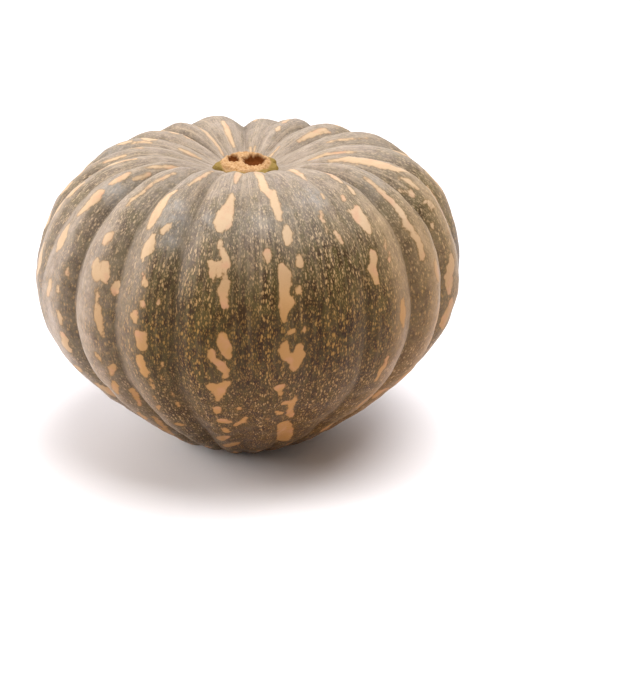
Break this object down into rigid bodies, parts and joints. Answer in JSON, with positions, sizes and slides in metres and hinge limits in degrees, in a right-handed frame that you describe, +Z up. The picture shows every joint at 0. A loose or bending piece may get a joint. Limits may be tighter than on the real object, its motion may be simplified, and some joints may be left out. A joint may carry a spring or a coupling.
{
  "type": "pumpkin",
  "caption": "Whole ribbed winter squash with a speckled grey-green rind, pale streaks along its ribs and a short broken stem stump, standing on its blossom end.",
  "frame": {"origin": "on the surface that the pumpkin stands on, under the middle of its bounding box", "axes": "+Z up along the stem's axis; -Y is the side that faces the viewer in the picture; +X is to that viewer's right"},
  "size_m": [0.2617, 0.2605, 0.1877],
  "materials": {
    "rind": null,
    "stem_cork": "dry corky stem, matt, cream rim and brown broken pith"
  },
  "bodies": {
    "root": {"fruit": "rind", "stem_stump": "stem_cork"}
  },
  "joints": []
}
